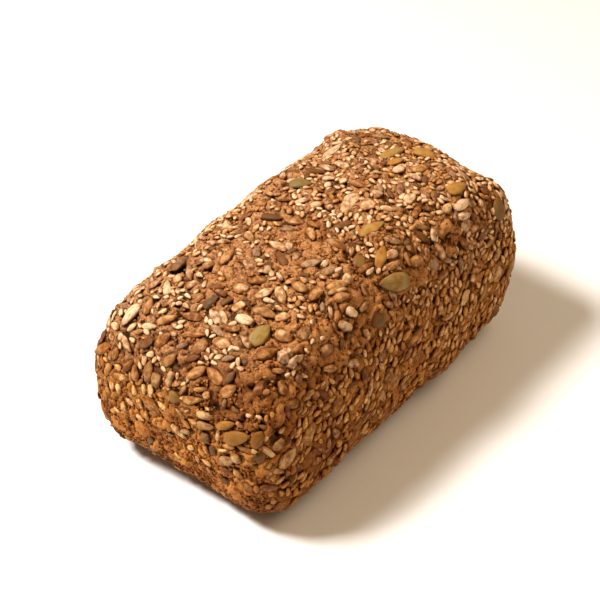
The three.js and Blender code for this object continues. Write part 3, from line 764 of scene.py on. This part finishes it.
def bulges(points):
    """The height of the crust over the seeds that lie under its skin, in mm, with a crease round
    each."""
    nearest = np.array([[index for spot, index, distance in sunk_tree.find_n(p, 3)] for p in points])
    rise = np.zeros(len(points))
    for column in nearest.T:
        bed = {key: values[column] for key, values in sunk_seeds.items()}
        away = points - bed["at"]
        along = (away * bed["nose"]).sum(1) / (bed["length"] / 2)
        aside = (away * np.cross(bed["out"], bed["nose"])).sum(1) / (bed["width"] / 2)
        r = np.hypot(along, aside)
        bulge = bed["thick"] * np.sqrt(np.clip(1 - r ** 2, 0, 1))
        bulge -= 0.25 * np.exp(-((r - 1.15) / 0.15) ** 2)
        rise = np.where(np.abs(bulge) > np.abs(rise), bulge, rise)
    return rise


FINE = (335, 178, 90)  # cells along, across and up: 0.6 mm apart
COARSE = (143, 77, 40)
top_crust = skinned("top_crust", [(2, 1, FINE)])
side_crust = skinned("side_crust", [(axis, end, FINE) for axis in (0, 1) for end in (0, 1)])
base_crust = skinned("base_crust", [(2, 0, COARSE)])


def add(tree, kind, inputs=None, **settings):
    """Adds a shader node with its settings, and gives each input a value or a link."""
    made = tree.nodes.new("ShaderNode" + kind)
    for name, value in settings.items():
        setattr(made, name, value)
    for name, value in (inputs or {}).items():
        if isinstance(value, bpy.types.NodeSocket):
            tree.links.new(value, made.inputs[name])
        else:
            made.inputs[name].default_value = value
    return made


def per(mm):
    """A pattern scale for features so many mm across, on coordinates in metres."""
    return 1 / (mm * MM)


def ramped(tree, *ramps):
    """Patterns, each stretched from its low and high to two values and held between them, and all
    of them multiplied together."""
    total = None
    for pattern, low, high, at_low, at_high in ramps:
        ramp = add(tree, "MapRange", {0: pattern, 1: low, 2: high, 3: at_low, 4: at_high}).outputs[0]
        if total:
            ramp = add(tree, "Math", {0: total, 1: ramp}, operation="MULTIPLY").outputs[0]
        total = ramp
    return total


def layered(tree, colour, layers, blend="MIX"):
    """A colour with others laid over it, each as strongly as its ramps say."""
    for over, *ramps in layers:
        over = linear(over) if isinstance(over, str) else over
        colour = add(tree, "Mix", {0: ramped(tree, *ramps), 6: colour, 7: over},
                     data_type="RGBA", blend_type=blend).outputs[2]
    return colour


def surfaced(tree, colour, roughness, height, strength, bump_mm, gloss):
    """Gives a material's surface its colour, roughness, relief and gloss."""
    bump = add(tree, "Bump", {"Height": height, "Strength": strength, "Distance": bump_mm * MM})
    surface = tree.nodes["Principled BSDF"].inputs
    for name, value in (("Base Color", colour), ("Roughness", roughness), ("Normal", bump.outputs[0])):
        tree.links.new(value, surface[name])
    surface["Specular IOR Level"].default_value = gloss


def tin_browned(tree, colour):
    """Browns a colour in patches where it lay against the hot tin; as painted light, the patches fade
    toward the far end.
    """
    place = add(tree, "TexCoord").outputs["Object"]
    along, _, up = add(tree, "SeparateXYZ", {0: place}).outputs
    patch = add(tree, "TexNoise", {"Vector": place, "Scale": per(13), "Detail": 3.0}).outputs["Fac"]
    below_rim = (up, 0.078, 0.055, 0, 1)
    return layered(tree, colour, (
        ("#FFF9DA", below_rim),
        ("#AC7C50", below_rim, (patch, 0.46, 0.6, 0, 0.5), (along, -0.05, 0.06, 1, 0.45),
         (along, -0.102, -0.088, 0.4, 1)),
    ), "MULTIPLY")


baked = bpy.data.materials.new("baked_rye_crust")
baked.use_nodes = True
tree = baked.node_tree
place = add(tree, "TexCoord").outputs["Object"]
along, across, up = add(tree, "SeparateXYZ", {0: place}).outputs
bake = add(tree, "VertexColor", layer_name="bake")
risen, sunk, pressed = add(tree, "SeparateColor", {"Color": bake.outputs["Color"]}).outputs
broad, blotch, grain = (
    add(tree, "TexNoise",
        {"Vector": place, "Scale": per(mm), "Detail": detail, "Roughness": rough}).outputs["Fac"]
    for mm, detail, rough in ((16, 3.0, 0.5), (3.2, 4.0, 0.6), (0.95, 3.0, 0.8)))
cells = add(tree, "TexVoronoi", {"Vector": place, "Scale": per(2.6), "Randomness": 1.0})
open_cell = add(tree, "Math", {0: cells.outputs["Color"], 1: 0.5}, operation="GREATER_THAN").outputs[0]
pore = ramped(tree, (open_cell, 0, 1, 0, 1), (cells.outputs["Distance"], 0.12, 0.2, 1, 0))
# Spots on the crust: painted light on the near shoulder right and left of the middle, a bare patch, painted
# shade at the near corner's foot, and the low back of the end.
lit_near_right, lit_near_left, bare_patch, shaded_near_foot, back_low = (
    add(tree, "VectorMath", {0: place, 1: spot}, operation="DISTANCE").outputs["Value"]
    for spot in ((0.050, -0.046, 0.085), (-0.045, -0.042, 0.088), (-0.097, -0.026, 0.070),
                 (-0.070, -0.058, 0.020), (-0.094, 0.052, 0.050)))
low_down = (up, 0.062, 0.04, 0, 1)
colour = layered(tree, linear("#CC884E"), (
    ("#9A5826", (blotch, 0.38, 0.62, 0, 1)),
    ("#B06018", (broad, 0.48, 0.62, 0, 0.7)),
    ("#7E4A1E", (broad, 0.42, 0.3, 0, 0.6)),
    ("#CE9662", (risen, 0.6, 0.85, 0, 0.45)),
    # Painted light: the crust is paler toward the far side of the top.
    ("#D8A478", (across, -0.03, 0.05, 0, 0.5)),
    # Painted light: paler crust on the near shoulder.
    ("#DA9E62", (lit_near_right, 0.055, 0.02, 0, 0.6)),
    ("#DC9C60", (lit_near_left, 0.045, 0.015, 0, 0.5)),
    ("#A05A18", (pressed, 0, 1, 0, 0.7)),
    ("#D08A40", (along, -0.091, -0.097, 0, 0.7), low_down),
    ("#E0B076", (grain, 0.54, 0.66, 0, 0.7)),
    ("#663412", (grain, 0.49, 0.37, 0, 0.9)),
    ("#CC8444", (across, -0.03, -0.045, 0, 0.6)),
    ("#6E3A12", (up, 0.022, 0.004, 0, 0.5)),
    ("#74380E", (bare_patch, 0.028, 0.010, 0, 0.6)),
    # Painted shade: the crust darkens in its low creases.
    ("#4A2206", (risen, 0.48, 0.18, 0, 0.9)),
    ("#E0985A", (along, -0.091, -0.097, 0, 0.75), low_down),
    # Painted shade at the foot of the near corner.
    ("#6A340A", (shaded_near_foot, 0.040, 0.015, 0, 0.5)),
    ("#6A3C18", (back_low, 0.034, 0.012, 0, 0.45)),
    # Painted shade: the crust darkens close round each seed, a little less where the tin pressed it.
    ("#3A1C0A", (bake.outputs["Alpha"], 0.2, 0.9, 0, 0.75), (pressed, 0, 1, 1, 0.95)),
))
colour = layered(tree, tin_browned(tree, colour), (
    # Painted shade: near black in the pores and the torn hollows.
    ("#2E1406", (pore, 0, 1, 0, 0.75)),
    ("#1E0E06", (sunk, 0, 1, 0, 1)),
))
height = add(tree, "Math", {0: grain, 1: pore}, operation="SUBTRACT").outputs[0]
surfaced(tree, colour, ramped(tree, (grain, 0.3, 0.7, 0.55, 0.85)), height, 1.0, 1.3, 0.12)
for piece in (top_crust, side_crust, base_crust):
    piece.data.materials.append(baked)

# Sunflower kernels: the hulled seeds of the sunflower, toasted on the crust from cream to brown,
# some still grey with their skin. They are plump, drawn to a point, and finely wrinkled lengthwise.
def shell(rings, around, outline, section):
    """A closed seed shell along X, 2 long, wide and thick: outline gives the half width from
    tail (0) to nose (1), and section gives y and z round it. Returns points and triangles."""
    points = [(-1.0, 0.0, 0.0)]
    for ring in range(1, rings):
        t = (1 - math.cos(math.pi * ring / rings)) / 2
        for k in range(around):
            y, z = section(2 * math.pi * k / around)
            points.append((2 * t - 1, outline(t) * y, outline(t) * z))
    points.append((1.0, 0.0, 0.0))
    tip = len(points) - 1
    faces = []
    for k in range(around):
        after = (k + 1) % around
        faces.append((0, 1 + after, 1 + k))
        for ring in range(rings - 2):
            a, b = 1 + ring * around + k, 1 + ring * around + after
            faces += [(a, b, b + around), (a, b + around, a + around)]
        last = 1 + (rings - 2) * around
        faces.append((last + k, last + after, tip))
    return np.array(points), np.array(faces)


CRUMPLE = 1.7  # mm from one dent to the next
LOWEST = 0.02  # mm above the table


def joined(name, form, faces, seeds, bend=0.0, droop=0.0, uneven=0.0, ridge=0.0, broken=0.0,
           crumple=0.0, seed=1):
    """One mesh of a form set down at every seed, with its own bend, ridge and unevenness in each,
    broken short for a share of them, and crumpled by so many mm.
    Two colour layers go with it: 'seed' holds its tones and how high on the seed a point is,
    'grain' holds its own mm, for patterns, and how far it is from tail to nose."""
    chance_of = np.random.default_rng(seed)
    n, k = len(seeds["at"]), len(form)
    own = chance_of.random((n, 8))
    x, y, z = (np.broadcast_to(form[:, i], (n, k)).copy() for i in range(3))
    flank, height = y.copy(), (z + 1) / 2
    cut = np.where(own[:, 5, None] < broken, 0.9 * own[:, 7, None], 1.0)
    x = np.where(x > cut, cut + 0.12 * (x - cut), x)
    fuller = 1 + 0.5 * own[:, 4, None] * x ** 4 + 0.3 * (own[:, 5, None] - 0.5) * x
    y *= fuller
    phase = 2 * np.pi * own[:, :3, None]
    y *= 1 + uneven * np.sin(2.1 * x + phase[:, 0]) + 0.6 * uneven * np.sin(4.3 * x + phase[:, 1])
    z *= 1 + uneven * np.sin(2.7 * x + phase[:, 2]) + 0.6 * uneven * np.sin(3 * flank + phase[:, 0])
    z *= 1 - ridge * np.abs(flank - 0.9 * (own[:, 6, None] - 0.5))
    y += bend * (own[:, 3, None] - 0.5) * (x ** 2 - 0.4)
    z -= droop * (0.4 + own[:, 4, None]) * (x ** 2 - 0.3)
    local = np.stack([x * seeds["length"][:, None], y * seeds["width"][:, None],
                      z * seeds["thick"][:, None]], 2) / 2
    cos, sin = (turn(seeds["tilt"])[:, None] for turn in (np.cos, np.sin))
    lx, lz = local[..., 0] * cos + local[..., 2] * sin, local[..., 2] * cos - local[..., 0] * sin
    across = np.cross(seeds["out"], seeds["nose"])
    world = (seeds["at"][:, None] + lx[..., None] * seeds["nose"][:, None]
             + local[..., 1, None] * across[:, None] + lz[..., None] * seeds["out"][:, None])
    if crumple:
        flat = world.reshape(-1, 3)
        flat += crumple * np.array([noise.noise_vector(Vector(point / CRUMPLE)) for point in flat])
    world[..., 2] = np.maximum(world[..., 2], LOWEST)
    tones = np.concatenate([np.repeat(seeds["tones"][:, None], k, 1), height[..., None]], 2)
    grain = np.concatenate([local + 40 * own[:, None, :3], (x[..., None] + 1) / 2], 2)
    return mesh_piece(name, world.reshape(-1, 3),
                      (faces[None] + (np.arange(n) * k)[:, None, None]).reshape(-1, 3),
                      {"seed": tones.reshape(-1, 4), "grain": grain.reshape(-1, 4)})


def seed_finish(name, pale, brown, grey, coat, streak_mm, blotch_mm, rough, bump_mm, nose=None, painted_crest_light=0.28):
    """A seed's skin: pale to browned, some grey, with lengthwise streaks, blotches and a film of crust
    that is thickest where the seed meets the bread."""
    material = bpy.data.materials.new(name)
    material.use_nodes = True
    tree = material.node_tree
    seed = add(tree, "VertexColor", layer_name="seed")
    toast, greyed, coated = add(tree, "SeparateColor", {"Color": seed.outputs["Color"]}).outputs
    own = add(tree, "VertexColor", layer_name="grain")
    drawn = add(tree, "VectorMath", {0: own.outputs["Color"], 1: (0.25, 1.0, 1.0)}, operation="MULTIPLY")
    streak, blotch = (
        add(tree, "TexNoise", {"Vector": vector, "Scale": 1 / mm, "Detail": detail}).outputs["Fac"]
        for vector, mm, detail in (
            (drawn.outputs[0], streak_mm, 2.0), (own.outputs["Color"], blotch_mm, 3.0)))
    spread = ramped(tree, (blotch, 0.3, 0.7, -0.3, 0.3))
    # Painted light: each seed is paler along its crest and darker lower on its flanks.
    flank = ramped(tree, (seed.outputs["Alpha"], 0.6, 0.98, painted_crest_light / 2, -painted_crest_light))
    film = ramped(tree, (blotch, 0.35, 0.65, -0.35, 0.45))
    browned = toast
    for more in (spread, flank):
        browned = add(tree, "Math", {0: browned, 1: more}, operation="ADD").outputs[0]
    film = add(tree, "Math", {0: coated, 1: film}, operation="ADD").outputs[0]
    gold = [math.sqrt(a * b) for a, b in zip(linear(pale), linear(brown))]
    colour = tin_browned(tree, layered(tree, linear(pale), (
        (gold, (browned, 0, 0.5, 0, 1)),
        (brown, (browned, 0.5, 1, 0, 1)),
        (grey, (greyed, 0, 1, 0, 1)),
        (coat, (streak, 0.52, 0.68, 0, 0.5)),
        (nose or coat, (own.outputs["Alpha"], 0.82, 1, 0, 0.6 if nose else 0)),
        (coat, (film, 0, 1, 0, 1)),
        (coat, (seed.outputs["Alpha"], 0.45, 0.8, 0.75, 0)),
    )))
    roughness = ramped(tree, (blotch, 0.3, 0.7, rough - 0.1, rough + 0.15))
    surfaced(tree, colour, roughness, streak, 0.9, bump_mm, 0.14)
    return material


def rounded(flat=1.0, crease=0.0):
    """A seed's cross-section: round, or flatter on its two faces, with an optional ridge."""
    def section(angle):
        c, s = math.cos(angle), math.sin(angle)
        return c, math.copysign(abs(s) ** flat, s) * (1 + crease * math.cos(4 * angle))
    return section


def teardrop(fullest, tail, nose):
    """A seed's outline from tail to nose: where it is widest, and how each end draws in, from
    0.5 for round to 1 for pointed."""
    skew = math.log(0.5) / math.log(fullest)
    return lambda t: math.sin(math.pi * t ** skew) ** (tail + (nose - tail) * t)


form, faces = shell(10, 12, teardrop(0.42, 0.5, 0.8), rounded(0.85))
kernels = joined("sunflower_kernels", form, faces, KERNEL["seeds"],
                 bend=0.35, droop=0.15, uneven=0.08, ridge=0.25, broken=0.2, crumple=0.3, seed=11)
kernels.data.materials.append(seed_finish(
    "toasted_sunflower_kernel", "#E8C096", "#AC7038", "#5C4630", "#723E14", 0.7, 2.6, 0.45, 0.5,
    nose="#966034"))
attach(kernels, "root")

# Pumpkin seeds: hulled, flat and smooth, with a thin grey-green skin that toasts to gold at the
# rim. They were pressed flat into the dough.
form, faces = shell(12, 18, teardrop(0.42, 0.5, 0.8), rounded(0.65))
pumpkins = joined("pumpkin_seeds", form, faces, PUMPKIN["seeds"],
                  bend=0.12, droop=0.15, uneven=0.04, ridge=0.12, crumple=0.3, seed=12)
pumpkins.data.materials.append(seed_finish(
    "toasted_pumpkin_seed", "#8E8256", "#B47C34", "#54482A", "#80501E", 1.2, 4.0, 0.45, 0.2,
    nose="#A87A45", painted_crest_light=0.0))
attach(pumpkins, "root")

# Oat and rye flakes: grains steamed and rolled flat, dry and dull, with a torn edge and a groove
# along the middle. They curl a little as they bake.
form, faces = shell(8, 14, teardrop(0.48, 0.5, 0.6), rounded(0.55, 0.1))
flakes = joined("oat_flakes", form, faces, FLAKE["seeds"],
                bend=0.25, droop=0.4, uneven=0.12, ridge=0.1, broken=0.4, crumple=0.5, seed=13)
flakes.data.materials.append(seed_finish(
    "rolled_oat_flake", "#DCB892", "#A06A38", "#806448", "#7A4412", 0.6, 2.2, 0.65, 0.3))
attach(flakes, "root")

# Sesame: small cream drops with a satin skin, strewn on last, and toasted to amber where the tin
# pressed them.
form, faces = shell(5, 6, teardrop(0.4, 0.5, 0.85), rounded(0.75))
sesame = joined("sesame_seeds", form, faces, SESAME["seeds"],
                bend=0.1, droop=0.1, uneven=0.06, ridge=0.15, seed=14)
sesame.data.materials.append(seed_finish(
    "toasted_sesame", "#EEC8A0", "#C88A48", "#A6825A", "#9E6020", 0.6, 1.4, 0.45, 0.15))
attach(sesame, "root")

# Linseed and husks: small flat brown seeds, and scorched bits of bran that came with the other
# seeds.
form, faces = shell(6, 8, teardrop(0.42, 0.5, 0.85), rounded(0.85))
linseed = joined("linseed", form, faces, LINSEED["seeds"],
                 bend=0.3, droop=0.1, uneven=0.1, ridge=0.1, broken=0.3, crumple=0.4, seed=15)
linseed.data.materials.append(seed_finish(
    "brown_linseed", "#8A6238", "#583818", "#705638", "#653A14", 0.6, 2.0, 0.5, 0.15))
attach(linseed, "root")

# Crumbs: bits of dough and meal that baked on between the seeds, dull and the colour of the
# crust.
form, faces = shell(3, 5, teardrop(0.5, 0.5, 0.6), rounded(0.9))
crumbs = joined("crumbs", form, faces, CRUMB["seeds"],
                bend=0.4, droop=0.2, uneven=0.3, crumple=0.4, seed=16)
crumbs.data.materials.append(seed_finish(
    "baked_crumb", "#BE844A", "#824816", "#8A6638", "#7A4414", 0.4, 1.0, 0.75, 0.15))
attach(crumbs, "root")

# The knob: a lump of floury dough that stuck to the top near the low end and baked there, paler
# and rougher than the crust.
form, faces = shell(16, 22, teardrop(0.5, 0.45, 0.5), rounded(0.8))
knob = joined("dough_knob", form, faces, KNOB["seeds"],
              bend=0.3, droop=0.2, uneven=0.22, ridge=0.1, crumple=1.5, seed=18)
knob.data.materials.append(seed_finish(
    "floury_dough_knob", "#D6B08A", "#A06C40", "#B08E6A", "#92623A", 1.2, 2.4, 0.7, 0.5))
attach(knob, "root")
